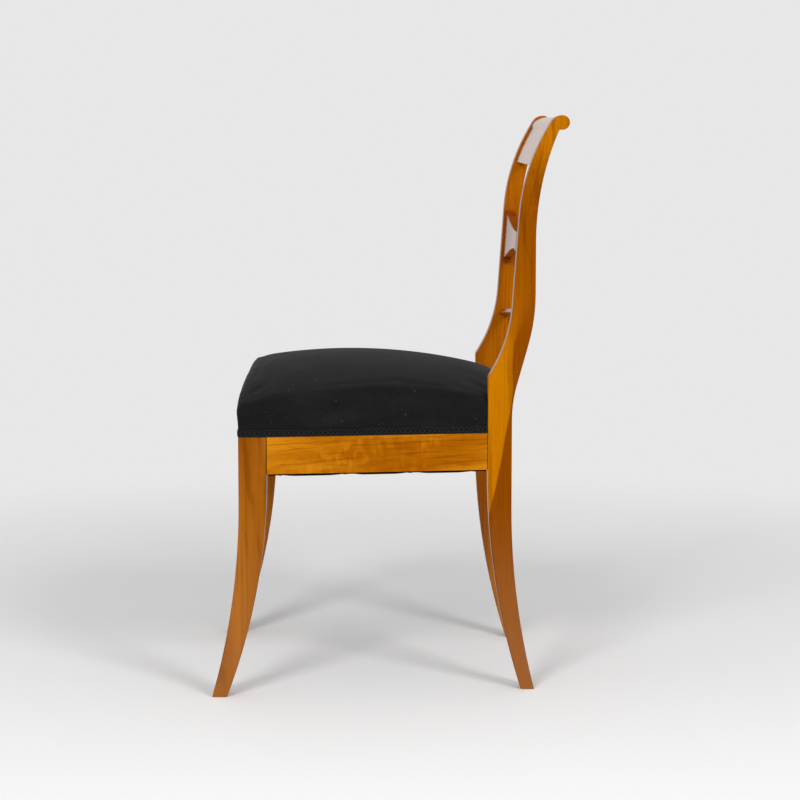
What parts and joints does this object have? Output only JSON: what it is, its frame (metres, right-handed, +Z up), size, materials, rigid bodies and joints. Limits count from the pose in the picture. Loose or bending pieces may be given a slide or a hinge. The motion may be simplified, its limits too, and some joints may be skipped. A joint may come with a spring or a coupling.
{
  "type": "side chair",
  "caption": "Wooden side chair with sabre legs, rolled-back stiles, a crest rail, a bow-shaped splat and a sprung, stuffed-over seat in plain dark cloth.",
  "frame": {"origin": "on the floor, under the middle of the chair's bounding box", "axes": "+Z up, the sitter faces -Y, +X is the sitter's left"},
  "size_m": [0.4768, 0.548, 0.89],
  "materials": {
    "cherry": "french-polished cherry, glossy",
    "block_wood": "plain sawn softwood",
    "jute": "woven jute",
    "tack_steel": "blued cut tacks",
    "dust_cloth": "thin black cotton",
    "spring_steel": "coppered spring wire",
    "horsehair": "curled horsehair",
    "wadding": "cotton wadding",
    "black_cloth": "plain woven black wool",
    "black_braid": "looped gimp braid"
  },
  "bodies": {
    "root": {"front_leg_left": "cherry", "front_leg_right": "cherry", "rear_stile_left": "cherry", "rear_stile_right": "cherry", "front_seat_rail": "cherry", "rear_seat_rail": "cherry", "side_seat_rail_left": "cherry", "side_seat_rail_right": "cherry", "crest_rail": "cherry", "back_splat": "cherry", "lower_back_rail": "cherry", "front_corner_block_left": "block_wood", "front_corner_block_right": "block_wood", "rear_corner_block_left": "block_wood", "rear_corner_block_right": "block_wood", "webbing_along_left": "jute", "webbing_along_centre": "jute", "webbing_along_right": "jute", "webbing_across_front": "jute", "webbing_across_middle": "jute", "webbing_across_rear": "jute", "webbing_tacks": "tack_steel", "dust_cover_tacks": "tack_steel", "dust_cover": "dust_cloth", "seat_springs": "spring_steel", "spring_hessian": "jute", "hair_stuffing": "horsehair", "wadding_layer": "wadding", "seat_cover": "black_cloth", "gimp_braid": "black_braid", "back_gimp_braid": "black_braid"}
  },
  "joints": []
}
